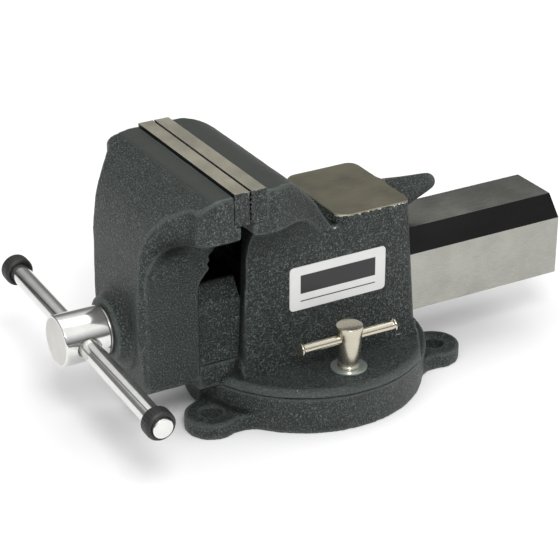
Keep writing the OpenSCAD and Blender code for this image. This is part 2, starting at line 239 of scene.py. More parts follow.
def turned_ring(name, node, material, r_in, axis=Z, edge=0.25 * MM):
    """A washer or sleeve of the size of its CAD node, about the node's own centre."""
    low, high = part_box(node)
    centre = (low + high) / 2
    half = (high - low) / 2
    along = abs(half.dot(axis))
    r_out = max(half.x, half.z) if abs(axis.y) > 0.5 else half.y
    bm = lathe(ring_profile(r_in, r_out, -along, along, edge), centre, axis)
    bmesh.ops.remove_doubles(bm, verts=bm.verts, dist=0.001 * MM)
    bmesh.ops.recalc_face_normals(bm, faces=bm.faces)
    return shade(new_object(name, bm, material))


def bevelled_copy(name, node, width, material):
    """A CAD node's flat-sided shape with its sharp edges broken."""
    bm = cad_copy(node)
    bmesh.ops.dissolve_limit(bm, angle_limit=math.radians(1), verts=bm.verts, edges=bm.edges)
    bevel_sharp(bm, width)
    return shade(new_object(name, bm, material))


def bevel_sharp(bm, width, angle=40):
    """Breaks the edges whose faces turn by more than the angle."""
    sharp = [e for e in bm.edges if len(e.link_faces) == 2 and e.calc_face_angle() > math.radians(angle)]
    bmesh.ops.bevel(bm, geom=sharp, offset=width, segments=2, profile=0.6, affect="EDGES",
                    clamp_overlap=True)


def cut_away(obj, cutter_bm):
    """Subtracts a closed bmesh from the object."""
    cutter = new_object("cutter", cutter_bm)
    mod = obj.modifiers.new("cut", "BOOLEAN")
    mod.operation = "DIFFERENCE"
    mod.solver = "EXACT"
    mod.object = cutter
    apply_modifiers(obj)
    bpy.data.objects.remove(cutter)


# ---------------------------------------------------------------- castings

def cast_surface(name, bm, smoothing, crisp=None):
    """Rebuilds a hard-edged shape on a fine grid and softens it, as sand casting does.

    crisp(co) is 1 where fine shapes, such as teeth, are to be kept.
    """
    obj = new_object(name, bm)
    remesh = obj.modifiers.new("remesh", "REMESH")
    remesh.mode = "VOXEL"
    remesh.voxel_size = VOXEL
    apply_modifiers(obj)
    smooth = obj.modifiers.new("smooth", "SMOOTH")
    smooth.factor = 0.5
    smooth.iterations = smoothing
    if crisp:
        group = obj.vertex_groups.new(name="softened")
        for v in obj.data.vertices:
            group.add([v.index], 1 - KEPT_CRISP * crisp(v.co), "REPLACE")
        smooth.vertex_group = group.name
    apply_modifiers(obj)
    triangles = 2 * len(obj.data.polygons)
    if triangles > CAST_FACES:
        decimate = obj.modifiers.new("decimate", "DECIMATE")
        decimate.ratio = CAST_FACES / triangles
        apply_modifiers(obj)
    # marks where the paint gets a painted highlight on outer edges and painted shade in inner corners
    mark_edge_light_and_shade(obj)
    waves = [v.normal * WAVE_HEIGHT * noise.noise(v.co / WAVE_LENGTH) for v in obj.data.vertices]
    for v, wave in zip(obj.data.vertices, waves):
        v.co += wave
        v.co.z = max(v.co.z, cad_low.z)
    return shade(obj, 60)


def mark_edge_light_and_shade(obj):
    """A per-vertex value for painted light: 1 on an outer edge, where a highlight is painted, -1 in an
    inner corner, where shade is painted, 0 on a flat.
    """
    mesh = obj.data
    count = len(mesh.vertices)
    co, normal = np.empty(3 * count), np.empty(3 * count)
    ends = np.empty(2 * len(mesh.edges), dtype=int)
    mesh.vertices.foreach_get("co", co)
    mesh.vertices.foreach_get("normal", normal)
    mesh.edges.foreach_get("vertices", ends)
    co, normal, ends = co.reshape(-1, 3), normal.reshape(-1, 3), ends.reshape(-1, 2)
    one_way = np.concatenate((ends, ends[:, ::-1]))
    degree = np.maximum(np.bincount(one_way[:, 0], minlength=count), 1)

    def neighbour_mean(values):
        return np.bincount(one_way[:, 0], weights=values, minlength=count) / degree

    step = co[one_way[:, 0]] - co[one_way[:, 1]]
    rise = neighbour_mean((step * normal[one_way[:, 0]]).sum(axis=1))
    spacing = neighbour_mean((step ** 2).sum(axis=1))
    bend = np.clip(4 * rise / spacing * EDGE_RADIUS, -1.5, 1.5)
    for _ in range(2):
        bend = (bend + neighbour_mean(bend[one_way[:, 1]])) / 2
    # 1 gives a painted highlight, -1 painted shade
    layer = mesh.attributes.new("edge", "FLOAT", "POINT")
    layer.data.foreach_set("value", np.clip(bend, -1, 1))


def cut_flat(obj, point, normal, keep, edge):
    """Cuts the chosen part of a mesh at a plane, closes it, and chamfers the new face's rim.

    keep(co) says which vertices the cut may touch. The new face gets material slot 1.
    """
    bm = bmesh.new()
    bm.from_mesh(obj.data)
    verts = [v for v in bm.verts if keep(v.co)]
    edges = [e for e in bm.edges if all(keep(v.co) for v in e.verts)]
    faces = [f for f in bm.faces if all(keep(v.co) for v in f.verts)]
    cut = bmesh.ops.bisect_plane(bm, geom=verts + edges + faces, dist=1e-7, plane_co=point - normal * edge,
                                 plane_no=normal, clear_outer=True)
    rim = [g for g in cut["geom_cut"] if isinstance(g, bmesh.types.BMEdge) and g.is_boundary]
    caps = bmesh.ops.contextual_create(bm, geom=rim)["faces"]
    for cap in caps:
        cap.material_index = 1
        cap.smooth = False
        if cap.normal.dot(normal) < 0:
            cap.normal_flip()
    if edge and caps:
        ring = bmesh.ops.inset_region(bm, faces=caps, thickness=edge, depth=edge, use_even_offset=True)
        for f in ring["faces"]:
            f.material_index = 1
            f.smooth = False
    bm.to_mesh(obj.data)
    bm.free()


def mark(obj, name, rule):
    """A per-vertex value from 0 to 1 that a material reads: rule(position, normal)."""
    layer = obj.data.attributes.new(name, "FLOAT", "POINT")
    layer.data.foreach_set("value", [rule(v.co, v.normal) for v in obj.data.vertices])


def unmarked(co, normal):
    """0 everywhere."""
    return 0


def ramp(value, low, high):
    """0 below low, 1 above high, smooth between; low may be the larger."""
    t = min(1, max(0, (value - low) / (high - low)))
    return t * t * (3 - 2 * t)


def is_tooth(co):
    """1 among the teeth of the pipe jaws, 0 elsewhere."""
    front, rear, lowest = -70 * MM, -49.5 * MM, 80 * MM
    return float(front < co.x < rear and lowest < co.z < HEAD_UNDERSIDE)


def is_front_detail(co):
    """1 among the front pipe jaw's teeth, less along the ridge round the hollow under each wing."""
    rear, lowest, highest, inner = -78 * MM, 70 * MM, 118 * MM, 24 * MM
    ridge = co.x < rear and lowest < co.z < highest and abs(co.y) > inner
    return max(is_tooth(co), 0.8 * ridge)


def hollow_distance(co):
    """How far a point is from the axis of the hollows under the front jaw's wings."""
    return math.hypot(co.x - HOLLOW_X, co.z - HOLLOW_Z)


def press_hollows(obj):
    """Deepens the hollow under each wing of the front jaw into a bowl."""
    rim, bottom, depth = 15 * MM, 2 * MM, 3.5 * MM
    wing_inner, wing_rear = 20 * MM, -66 * MM
    for v in obj.data.vertices:
        if abs(v.co.y) > wing_inner and v.co.x < wing_rear:
            v.co.y -= math.copysign(depth * ramp(hollow_distance(v.co), rim, bottom), v.co.y)


def round_corner(co, edge_x, toward, radius):
    """Moves a point beyond an upright corner of the body onto its rounding.

    toward is 1 at a corner that faces the rear and -1 at one that faces the front.
    """
    corner = Vector((toward * (co.x - edge_x) + radius, abs(co.y) - BODY_SIDE + radius))
    if min(corner) > 0 and corner.length > radius:
        corner *= radius / corner.length
        co.x = edge_x + toward * (corner.x - radius)
        co.y = math.copysign(corner.y + BODY_SIDE - radius, co.y)


def round_rear_corners(obj):
    """Rounds the upright corners behind the anvil, whose wall leans back as it goes down."""
    radius, lowest = 5.5 * MM, 30 * MM
    wall_foot = 52.2 * MM
    lean = (wall_foot - ANVIL_REAR) / (ANVIL_TOP - FLANGE_TOP)
    for v in obj.data.vertices:
        if v.co.z > lowest:
            round_corner(v.co, ANVIL_REAR + (ANVIL_TOP - v.co.z) * lean, 1, radius)


def round_front_corners(obj):
    """Rounds the anvil's upright corners beside the notch."""
    radius, lowest = 7 * MM, 94.5 * MM
    for v in obj.data.vertices:
        if v.co.z > lowest and v.co.x > 0:
            round_corner(v.co, ANVIL_FRONT, -1, radius)


def square_plate_seat(obj):
    """Brings the casting flush with the rear plate's ends, so that paint bridges the joint."""
    low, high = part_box("rear_jaw_plate")
    reach, below_crest = 1.1 * MM, 2 * MM
    for v in obj.data.vertices:
        beside = high.x - reach < v.co.x < high.x + 2 * reach and low.z < v.co.z < high.z - below_crest
        if beside and abs(v.co.y) > high.y - reach:
            v.co.y = math.copysign(high.y, v.co.y)
            v.co.x = max(v.co.x, high.x)


def flange_rim(co):
    """1 along the flange's upper edge, where the paint is rubbed off."""
    off, height = abs(math.hypot(co.x, co.y) - RIM_RADIUS), co.z - FLANGE_TOP
    return (ramp(off, 1.4 * MM, 0.3 * MM) * ramp(height, -3 * MM, -1.5 * MM)
            * ramp(height, 2 * MM, 1 * MM))


def body_foot(co):
    """1 along the fillet between the flange and the rear half of the body's sides."""
    height, beside = abs(co.z - FLANGE_TOP - 1 * MM), abs(abs(co.y) - BODY_SIDE - 3 * MM)
    return ramp(height, 1.3 * MM, 0.2 * MM) * ramp(beside, 3 * MM, 1 * MM) * ramp(co.x, 4 * MM, 24 * MM)


def anvil_rim(co):
    """1 just below the anvil's machined top."""
    depth, front, rear = ANVIL_TOP - co.z, co.x - ANVIL_FRONT, co.x - ANVIL_REAR
    return (ramp(depth, 2.2 * MM, 0.8 * MM) * ramp(depth, -1 * MM, 0)
            * ramp(front, -1 * MM, 1 * MM) * ramp(rear, 1 * MM, -1 * MM))


def notch_foot(co):
    """1 at the near and far ends of the notch in front of the anvil."""
    away = math.hypot(co.x - NOTCH_X, co.z - NOTCH_Z)
    return ramp(away, 2 * MM, 0.5 * MM) * ramp(abs(co.y), 24 * MM, 27 * MM)


def in_anvil(co):
    """Whether a point is in the block that carries the anvil's machined top."""
    front, lowest = 2 * MM, 95 * MM
    return co.x > front and co.z > lowest


def fixed_smooth(co, normal):
    """1 on the smooth back slope of the rear jaw."""
    return (ramp(normal.z, 0.25, 0.5) * ramp(co.x, -22 * MM, -30 * MM)
            * ramp(co.z, HEAD_UNDERSIDE, HEAD_UNDERSIDE + 6 * MM))


def fixed_chips(co, normal):
    """1 where most paint has come off."""
    return max(0.55 * flange_rim(co), 0.62 * body_foot(co), anvil_rim(co), notch_foot(co))


def fixed_painted_shade(co, normal):
    """Painted shade: 1 in the throat between the pipe jaws, less on the guide's front below it."""
    below_head = ramp(co.z, HEAD_UNDERSIDE, HEAD_UNDERSIDE - 2 * MM)
    guide = ramp(normal.x, -0.3, -0.8) * ramp(co.x, -44 * MM, -47 * MM) * below_head
    guide *= ramp(co.z - FLANGE_TOP, 4 * MM, 12 * MM)
    throat = ramp(co.x, -46 * MM, -46.5 * MM) * ramp(co.z, 64 * MM, 68 * MM) * below_head
    throat *= max(ramp(abs(co.y), 26 * MM, 23 * MM), 0.75 * ramp(-normal.x, 0.2, 0.4))
    return max(0.7 * guide, throat)


def make_fixed_casting(paint, machined):
    """The body with its flange, rear jaw, horn and anvil; the anvil's top is cut flat."""
    node = "fixed_jaw_casting"
    spare = 3 * MM
    bm = cad_copy(node)
    for v in bm.verts:
        if v.co.x > ANVIL_FRONT and abs(v.co.z - ANVIL_TOP) < 0.1 * MM:
            v.co.z += spare
    obj = cast_surface("fixed_casting", bm, DETAILED_SMOOTHING, is_tooth)
    round_rear_corners(obj)
    round_front_corners(obj)
    square_plate_seat(obj)
    obj.data.materials.append(paint)
    obj.data.materials.append(machined)
    cut_flat(obj, Vector((0, 0, ANVIL_TOP)), Z, in_anvil, ANVIL_EDGE)
    mark(obj, "smooth_area", fixed_smooth)
    mark(obj, "chips", fixed_chips)
    # painted shade, black, in the throat and on the guide's front
    mark(obj, "painted_shade", fixed_painted_shade)
    finish_piece(obj, "vise_body", "cast_paint", node)


def front_smooth(co, normal):
    """1 on the smooth top of the front jaw."""
    return ramp(co.x, -79 * MM, -74 * MM) * ramp(normal.z, 0.3, 0.6) * ramp(co.z, 110 * MM, 120 * MM)


def front_chips(co, normal):
    """1 where the near wing meets the pipe jaw's neck."""
    away = math.hypot(co.x - NECK_X, co.z - NECK_Z)
    return 0.6 * ramp(away, 5 * MM, 2 * MM) * ramp(-co.y, 22 * MM, 26 * MM)


def front_painted_shade(co, normal):
    """Painted shade: 1 in the throat: neck's rear, pipe jaw's underside and bar's top; less in the hollows
    under the wings.
    """
    neck = ramp(normal.x, 0.3, 0.6) * ramp(co.x, -75 * MM, -73.5 * MM)
    bar = (ramp(co.x, -73.5 * MM, -72.3 * MM) * ramp(co.z, 73.5 * MM, 75.5 * MM)
           * ramp(abs(co.y), 24 * MM, 23 * MM))
    underside = ramp(-normal.z, 0.3, 0.7) * ramp(co.x, -70 * MM, -66 * MM)
    below_head = ramp(co.z, HEAD_UNDERSIDE + 0.5 * MM, HEAD_UNDERSIDE - 1 * MM)
    hollow = ramp(hollow_distance(co), 13 * MM, 1 * MM)
    return max(max(neck, bar, underside) * below_head, 0.7 * hollow)


def make_front_casting(paint):
    """The front jaw with the painted start of its slide bar."""
    node = "sliding_jaw_casting"
    cut_region = 8 * MM
    obj = cast_surface("front_casting", cad_copy(node), DETAILED_SMOOTHING, is_front_detail)
    press_hollows(obj)
    obj.data.materials.append(paint)
    obj.data.materials.append(paint)    # the cut end's, where the slide bar joins
    cut_flat(obj, Vector((PAINTED_BAR_END, 0, 0)), X, lambda co: co.x > PAINTED_BAR_END - cut_region, 0)
    mark(obj, "smooth_area", front_smooth)
    mark(obj, "chips", front_chips)
    # painted shade, black, in the throat and in the hollows under the wings
    mark(obj, "painted_shade", front_painted_shade)
    finish_piece(obj, "front_jaw", "cast_paint", node)


def make_slide_bar(machined, bare_paint):
    """The bar behind its painted start: machined top and sides, black chamfers, end and hollow."""
    node = "sliding_jaw_casting"
    bm = cad_copy(node)
    bmesh.ops.bisect_plane(bm, geom=bm.verts[:] + bm.edges[:] + bm.faces[:], dist=1e-7,
                           plane_co=(PAINTED_BAR_END, 0, 0), plane_no=X, clear_inner=True)
    bmesh.ops.holes_fill(bm, edges=[e for e in bm.edges if e.is_boundary])
    bmesh.ops.dissolve_limit(bm, angle_limit=math.radians(1), verts=bm.verts, edges=bm.edges)
    bevel_sharp(bm, 0.5 * MM, 20)
    bar = new_object("slide_bar", bm)
    bar.data.materials.append(machined)
    bar.data.materials.append(bare_paint)
    hollow_side, hollow_top = 20 * MM, 70 * MM
    for polygon in bar.data.polygons:
        side = abs(polygon.normal.y) > 0.9 and abs(polygon.center.y) > hollow_side
        top = polygon.normal.z > 0.9 and polygon.center.z > hollow_top
        polygon.material_index = 0 if side or top else 1
    shade(bar, 20)
    finish_piece(bar, "front_jaw", "machined_steel", node)


def base_chips(co, normal):
    """1 along the upper edges of the bolt lugs."""
    edge_z = 7.5 * MM
    return (0.45 * ramp(abs(co.z - edge_z), 1.6 * MM, 0.4 * MM)
            * ramp(math.hypot(co.x, co.y), 68 * MM, 74 * MM))


def make_base(paint):
    """The round swivel base with its three bolt lugs."""
    obj = cast_surface("swivel_base_casting", cad_copy("swivel_base"), PLAIN_SMOOTHING)
    obj.data.materials.append(paint)
    mark(obj, "smooth_area", unmarked)
    mark(obj, "chips", base_chips)
    mark(obj, "painted_shade", unmarked)
    finish_piece(obj, "base", "cast_paint", "swivel_base")


# ---------------------------------------------------------------- jaw plates and label

def serrated_face(low, high):
    """Grid corners and depths of a diamond-cut face: rows of (y, z, depth)."""
    step = SERRATION_PITCH / 4
    wide, tall = round((high.y - low.y) / step), round((high.z - low.z) / step)
    rows = []
    for j in range(tall + 1):
        row = []
        for i in range(wide + 1):
            y, z = low.y + (high.y - low.y) * i / wide, low.z + (high.z - low.z) * j / tall
            u, v = (i + j) % 4 / 4, (i - j) % 4 / 4
            depth = max(1 - 4 * min(u, 1 - u), 1 - 4 * min(v, 1 - v), 0)
            row.append((y, z, depth * SERRATION_DEPTH))
        rows.append(row)
    return rows


def bridge(bm, layers):
    """Faces between each closed ring of vertices and the next."""
    for low, high in zip(layers, layers[1:]):
        for k in range(len(low)):
            n = (k + 1) % len(low)
            bm.faces.new([low[k], low[n], high[n], high[k]])


def drill_screw_holes(obj, screws, face_x, face_dir, z):
    """Counterbored holes for the plate's two screws, from just in front of its gripping face."""
    low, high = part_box(screws)
    head_r = (high.z - low.z) / 2
    counterbore_r, counterbore_depth = head_r + 0.3 * MM, 4.7 * MM
    shank_r, depth = 3.1 * MM, 12 * MM
    hole = [(0, 0), (counterbore_r, 0), (counterbore_r, counterbore_depth), (shank_r, counterbore_depth),
            (shank_r, depth), (0, depth)]
    for side in (-1, 1):
        start = Vector((face_x + face_dir * MM, side * (high.y - head_r), z))
        cut_away(obj, lathe(hole, start, -X * face_dir, 48))


def make_plate(name, node, screws, face_dir, body, materials):
    """A jaw plate with a diamond-cut gripping face, screw holes and broken edges.

    The materials are those of the top, of the two ends and of the rest.
    """
    low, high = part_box(node)
    face_x, back_x = (high.x, low.x) if face_dir > 0 else (low.x, high.x)
    edge, back_edge = 0.25 * MM, 0.05 * MM
    inset = Vector((0, edge, edge))
    bm = bmesh.new()
    grid = [[bm.verts.new((face_x - face_dir * d, y, z)) for y, z, d in row]
            for row in serrated_face(low + inset, high - inset)]
    for j in range(len(grid) - 1):
        for i in range(len(grid[0]) - 1):
            bm.faces.new([grid[j][i], grid[j][i + 1], grid[j + 1][i + 1], grid[j + 1][i]])
    loop = grid[0][:-1] + [row[-1] for row in grid[:-1]] + grid[-1][:0:-1] + [row[0] for row in grid[:0:-1]]
    centre, size = (low + high) / 2, high - low
    grow_y, grow_z = size.y / (size.y - 2 * edge), size.z / (size.z - 2 * edge)

    def layer(x_of, grown):
        made = []
        for v in loop:
            y = centre.y + (v.co.y - centre.y) * (grow_y if grown else 1)
            z = centre.z + (v.co.z - centre.z) * (grow_z if grown else 1)
            made.append(bm.verts.new((x_of(v), y, z)))
        return made

    layers = [loop, layer(lambda v: v.co.x - face_dir * edge, True),
              layer(lambda v: back_x + face_dir * back_edge, True), layer(lambda v: back_x, False)]
    bridge(bm, layers)
    bm.faces.new(layers[-1])
    bmesh.ops.recalc_face_normals(bm, faces=bm.faces)
    obj = new_object(name, bm)
    drill_screw_holes(obj, screws, face_x, face_dir, centre.z)
    for material in materials:
        obj.data.materials.append(material)
    for polygon in obj.data.polygons:
        if polygon.normal.z > 0.9:
            polygon.material_index = 0
        else:
            polygon.material_index = 1 if abs(polygon.center.y) > high.y - 1.2 * edge else 2
    mark(obj, "smooth_area", unmarked)
    mark(obj, "chips", lambda co, normal: ramp(co.z, high.z - 0.8 * MM, high.z - 0.2 * MM))
    mark(obj, "painted_shade", unmarked)
    finish_piece(shade(obj, 25), body, "machined_steel", node)


def make_label(material):
    """A thin plate with round corners and a bevelled front edge."""
    low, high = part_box("label_plate")
    corner_r, bevel = 2.6 * MM, 0.15 * MM
    outline = [(low.x, low.z), (high.x, low.z), (high.x, high.z), (low.x, high.z)]
    outline = rounded(outline, corner_r, steps=8, closed=True)
    centre = Vector(((low.x + high.x) / 2, (low.z + high.z) / 2))
    bm = bmesh.new()

    def layer(y, inset):
        made = []
        for p in outline:
            inward = (centre - p).normalized() * inset
            made.append(bm.verts.new((p.x + inward.x, y, p.y + inward.y)))
        return made

    layers = [layer(high.y, 0), layer(low.y + bevel, 0), layer(low.y, bevel)]
    bridge(bm, layers)
    bm.faces.new(layers[0])
    bm.faces.new(layers[-1])
    bmesh.ops.recalc_face_normals(bm, faces=bm.faces)
    finish_piece(shade(new_object("label", bm, material)), "vise_body", "label", "label_plate")


# ---------------------------------------------------------------- spindle and handle

def thread_ridge(bm, axis_point, root, crest, x0, x1):
    """A trapezoidal helical ridge about a line along X, tapered out at both ends."""
    per_turn = 36
    count = int((x1 - x0) / THREAD_LEAD * per_turn)
    foot_r = root - 0.3 * MM
    wide, narrow = 0.36 * THREAD_LEAD, 0.18 * THREAD_LEAD
    sections = []
    for i in range(count + 1):
        angle = 2 * math.pi * i / per_turn
        along = x0 + THREAD_LEAD * i / per_turn
        fade = min(1, i / per_turn * 2, (count - i) / per_turn * 2)
        top_r = root + (crest - root) * fade
        out = Vector((0, math.sin(angle), math.cos(angle)))
        corners = [(-wide, foot_r), (-narrow, top_r), (narrow, top_r), (wide, foot_r)]
        sections.append([bm.verts.new(axis_point + X * (along - axis_point.x + dx) + out * r)
                         for dx, r in corners])
    bridge(bm, sections)
    bm.faces.new(sections[0])
    bm.faces.new(sections[-1])


def spindle_centre():
    """The point of the spindle's axis at X = 0."""
    low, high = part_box("spindle")
    return Vector((0, 0, (high.z + low.z) / 2))


def make_spindle_head(handle, chrome, turned_face):
    """The chromed head with a flared cross hole for the handle and a turned front face."""
    low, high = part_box("spindle")
    head_r = (high.z - low.z) / 2
    head_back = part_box("thrust_washer")[0].x
    step_r, screw_start, screw_end = SCREW_R + 0.2 * MM, head_back + 0.2 * MM, head_back + 0.3 * MM
    profile = rounded([(0, low.x), (head_r, low.x), (head_r, head_back), (step_r, head_back)], 1.1 * MM, 4)
    profile += [Vector((SCREW_R, screw_start)), Vector((SCREW_R, screw_end)), Vector((0, screw_end))]
    head = new_object("spindle_head", lathe(profile, spindle_centre(), X, 128), chrome)

    bar_axis, bar_centre, _, bar_r = handle
    bore_r = bar_r + 0.12 * MM
    mouth_r = bore_r + 1.3 * MM
    end = head_r + 8 * MM
    half = [(bore_r, 0), (bore_r, head_r - 1.6 * MM), (mouth_r, head_r + 0.1 * MM), (mouth_r, end)]
    cutter = [(0, -end)] + [(r, -a) for r, a in reversed(half[1:])] + half[1:] + [(0, end)]
    bore_centre = Vector((bar_centre.x, 0, bar_centre.z - bar_axis.z / bar_axis.y * bar_centre.y))
    cut_away(head, lathe(cutter, bore_centre, bar_axis, 64))
    head.data.materials.append(turned_face)
    for polygon in head.data.polygons:
        polygon.material_index = int(polygon.normal.x < -0.99)
    finish_piece(shade(head, 30), "spindle_body", "polished_steel", "spindle")


def make_screw(steel):
    """The screw behind the head: a plain shank up to the collar, then the thread."""
    root = SCREW_R - THREAD_DEPTH
    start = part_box("thrust_washer")[0].x + 0.2 * MM
    shank_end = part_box("retaining_collar")[1].x + 3 * MM
    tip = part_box("spindle")[1].x
    core = [(0, start), (SCREW_R, start), (SCREW_R, shank_end), (root, shank_end + 1.5 * MM),
            (root, tip - 1.5 * MM), (root - 1.2 * MM, tip), (0, tip)]
    bm = lathe(rounded(core, 0.4 * MM), spindle_centre(), X, 64)
    thread_ridge(bm, spindle_centre(), root, SCREW_R, shank_end + 2 * MM, tip - 4 * MM)
    bmesh.ops.recalc_face_normals(bm, faces=bm.faces)
    screw = shade(new_object("spindle_screw", bm, steel), 30)
    finish_piece(screw, "spindle_body", "polished_steel", "spindle")


def handle_line():
    """The handle bar's axis, centre, half length and radius, read from its CAD box."""
    low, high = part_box("handle_bar")
    centre = (low + high) / 2
    r = (high.x - low.x) / 2
    wide, tall = high.y - low.y, high.z - low.z
    tilt = 0.0
    for _ in range(20):
        length = (wide - 2 * r * math.sin(tilt)) / math.cos(tilt)
        tilt = math.asin((tall - 2 * r * math.cos(tilt)) / length)
    axis = Vector((0, math.cos(tilt), math.sin(tilt)))
    half = (wide - 2 * r * math.sin(tilt)) / math.cos(tilt) / 2
    return axis, centre, half, r


def flute(bm, centre, axis, radius, half, count):
    """Presses shallow flutes into a cap's side, clear of its rounded ends."""
    depth, side, rounding = 0.14 * MM, 0.3 * MM, 1.2 * MM
    for v in bm.verts:
        off = v.co - centre
        along = off.dot(axis)
        out = off - axis * along
        if out.length > radius - side and abs(along) < half - rounding:
            angle = math.atan2(out.dot(X), out.dot(axis.cross(X)))
            v.co -= out.normalized() * depth * (0.5 + 0.5 * math.cos(count * angle))


def make_cap(node, axis, bar_r, rubber):
    """A ring cap on the handle's end, rounded and lightly fluted."""
    low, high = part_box(node)
    centre = (low + high) / 2
    outer_r, bore_edge_r, half, flutes = (high.x - low.x) / 2, bar_r + 0.7 * MM, 4 * MM, 30
    corner_r, corner, bore_corner = outer_r - 0.9 * MM, half - 1.3 * MM, half - 0.8 * MM
    loop = [(bar_r, -bore_corner), (bore_edge_r, -half), (corner_r, -half), (outer_r, -corner),
            (outer_r, corner), (corner_r, half), (bore_edge_r, half), (bar_r, bore_corner)]
    loop = rounded(loop, 0.5 * MM, 3, closed=True)
    bm = lathe(loop + loop[:1], centre, axis, flutes * 8)
    bmesh.ops.remove_doubles(bm, verts=bm.verts, dist=0.001 * MM)
    flute(bm, centre, axis, outer_r, half, flutes)
    bmesh.ops.recalc_face_normals(bm, faces=bm.faces)
    cap = shade(new_object(node.replace("handle_cap", "handle_end_ring"), bm, rubber))
    finish_piece(cap, "handle", "rubber", node)


def make_handle(handle, chrome, rubber):
    """The sliding bar and its two ring caps."""
    axis, centre, half, r = handle
    profile = rounded([(0, -half), (r, -half), (r, half), (0, half)], 0.6 * MM, 4)
    rod = shade(new_object("handle_rod", lathe(profile, centre, axis, 96), chrome))
    finish_piece(rod, "handle", "polished_steel", "handle_bar")
    for node in ("handle_cap_near", "handle_cap_far"):
        make_cap(node, axis, r, rubber)


# ---------------------------------------------------------------- swivel locks and hardware

def make_lock_post(side, nickel):
    """The lock's bolt: a waisted post above the washer, with the bar's flared hole through it."""
    bolt = "lock_bolt_" + side
    low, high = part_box(bolt)
    centre = (low + high) / 2
    bar_low, bar_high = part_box("lock_bar_" + side)
    bar_z = (bar_low.z + bar_high.z) / 2
    top_r = (high.y - low.y) / 2
    foot_r, waist_r = 0.84 * top_r, 0.76 * top_r
    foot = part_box("lock_washer_" + side)[1].z + 0.05 * MM
    end_bevel = 0.7 * MM
    profile = [(0, low.z), (SHANK_R - end_bevel, low.z), (SHANK_R, low.z + end_bevel), (SHANK_R, foot),
               (foot_r, foot), (foot_r, foot + 0.9 * MM), (waist_r, foot + 1.6 * MM),
               (0.92 * top_r, bar_z), (top_r, high.z - 2.6 * MM), (top_r, high.z), (0, high.z)]
    bm = lathe(rounded(profile, 0.5 * MM, 4), Vector((centre.x, centre.y, 0)), Z, 72)
    post = new_object("lock_post_" + side, bm, nickel)
    bore_r = LOCK_BAR_R + 0.12 * MM
    mouth_r = bore_r + 0.5 * MM
    reach, mouth, bore_end = 12 * MM, top_r - 0.4 * MM, top_r - 1.1 * MM
    bore = [(0, -reach), (mouth_r, -reach), (mouth_r, -mouth), (bore_r, -bore_end),
            (bore_r, bore_end), (mouth_r, mouth), (mouth_r, reach), (0, reach)]
    cut_away(post, lathe(bore, Vector((centre.x, centre.y, bar_z)), X, 48))
    finish_piece(shade(post, 30), "lock_" + side, "nickel", bolt)


def make_lock_rod(side, nickel):
    """The lock's sliding bar with its flared ends, short enough to stop clear of the post."""
    bar = "lock_bar_" + side
    low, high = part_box(bar)
    half, end_r = (high.x - low.x) / 2, (high.z - low.z) / 2
    neck, flange = half - 1.5 * MM, half - 0.7 * MM
    profile = [(0, -half), (end_r, -half), (end_r, -flange), (LOCK_BAR_R, -neck), (LOCK_BAR_R, neck),
               (end_r, flange), (end_r, half), (0, half)]
    bm = lathe(rounded(profile, 0.5 * MM, 3), (low + high) / 2, X, 56)
    rod = shade(new_object("lock_rod_" + side, bm, nickel), 35)
    finish_piece(rod, "lock_" + side + "_bar", "nickel", bar)


def make_lock(side, nickel, zinc):
    """One T-handled lock: post, sliding bar, washer and the nut in the base's slot."""
    make_lock_post(side, nickel)
    make_lock_rod(side, nickel)
    washer = turned_ring("lock_ring_" + side, "lock_washer_" + side, zinc, SHANK_R + 0.1 * MM)
    finish_piece(washer, "vise_body", "zinc", "lock_washer_" + side)
    coat("lock_nut_" + side, zinc)


def coat(node, material):
    """Gives a CAD node that stays as it is its material."""
    materials = frame["nodes"][node].data.materials
    materials.clear()
    materials.append(material)


def make_hidden_hardware(zinc, bronze, steel):
    """Collar, washers and nut that show only from below or with the jaws open."""
    screw_bore = SCREW_R + 0.1 * MM
    for node, body, slot, material in (("retaining_collar", "spindle_body", "zinc", zinc),
                                       ("spring_washer", "front_jaw", "zinc", zinc),
                                       ("thrust_washer", "front_jaw", "zinc", steel)):
        name = node.replace("retaining", "spindle") + "_turned"
        finish_piece(turned_ring(name, node, material, screw_bore, X, 0.3 * MM), body, slot, node)
    nut = bevelled_copy("spindle_nut_cast", "spindle_nut", 0.5 * MM, bronze)
    finish_piece(nut, "vise_body", "nut_metal", "spindle_nut")
    for node in ("rear_plate_screws", "front_plate_screws", "nut_bolt", "pivot_bolt", "pivot_washer",
                 "collar_pin", "spindle_spring"):
        coat(node, zinc)


# ---------------------------------------------------------------- materials

def shader(name, **sockets):
    """A material and its Principled shader; underscores in names stand for spaces."""
    material = bpy.data.materials.new(name)
    material.use_nodes = True
    principled = material.node_tree.nodes["Principled BSDF"]
    for socket, value in sockets.items():
        principled.inputs[socket.replace("_", " ")].default_value = value
    return material, principled


def add(tree, kind, inputs=None, **settings):
    """A node whose inputs are values or other nodes' output sockets."""
    node = tree.nodes.new("ShaderNode" + kind)
    for key, value in settings.items():
        setattr(node, key, value)
    for key, value in (inputs or {}).items():
        if isinstance(value, bpy.types.NodeSocket):
            tree.links.new(value, node.inputs[key])
        else:
            node.inputs[key].default_value = value
    return node


def position(tree, stretch=(1, 1, 1)):
    """The point on the piece, in metres at rest, stretched along its axes."""
    coords = add(tree, "TexCoord").outputs["Object"]
    return add(tree, "VectorMath", {0: coords, 1: stretch}, operation="MULTIPLY").outputs[0]


def math_node(tree, operation, a, b=0.0):
    return add(tree, "Math", {0: a, 1: b}, operation=operation).outputs[0]


def share(tree, value, amount):
    """The product of two values or sockets."""
    return math_node(tree, "MULTIPLY", value, amount)


def attribute(tree, name):
    """One of the per-vertex values that mark() or mark_edge_light_and_shade() left on a piece."""
    return add(tree, "Attribute", attribute_name=name).outputs["Fac"]


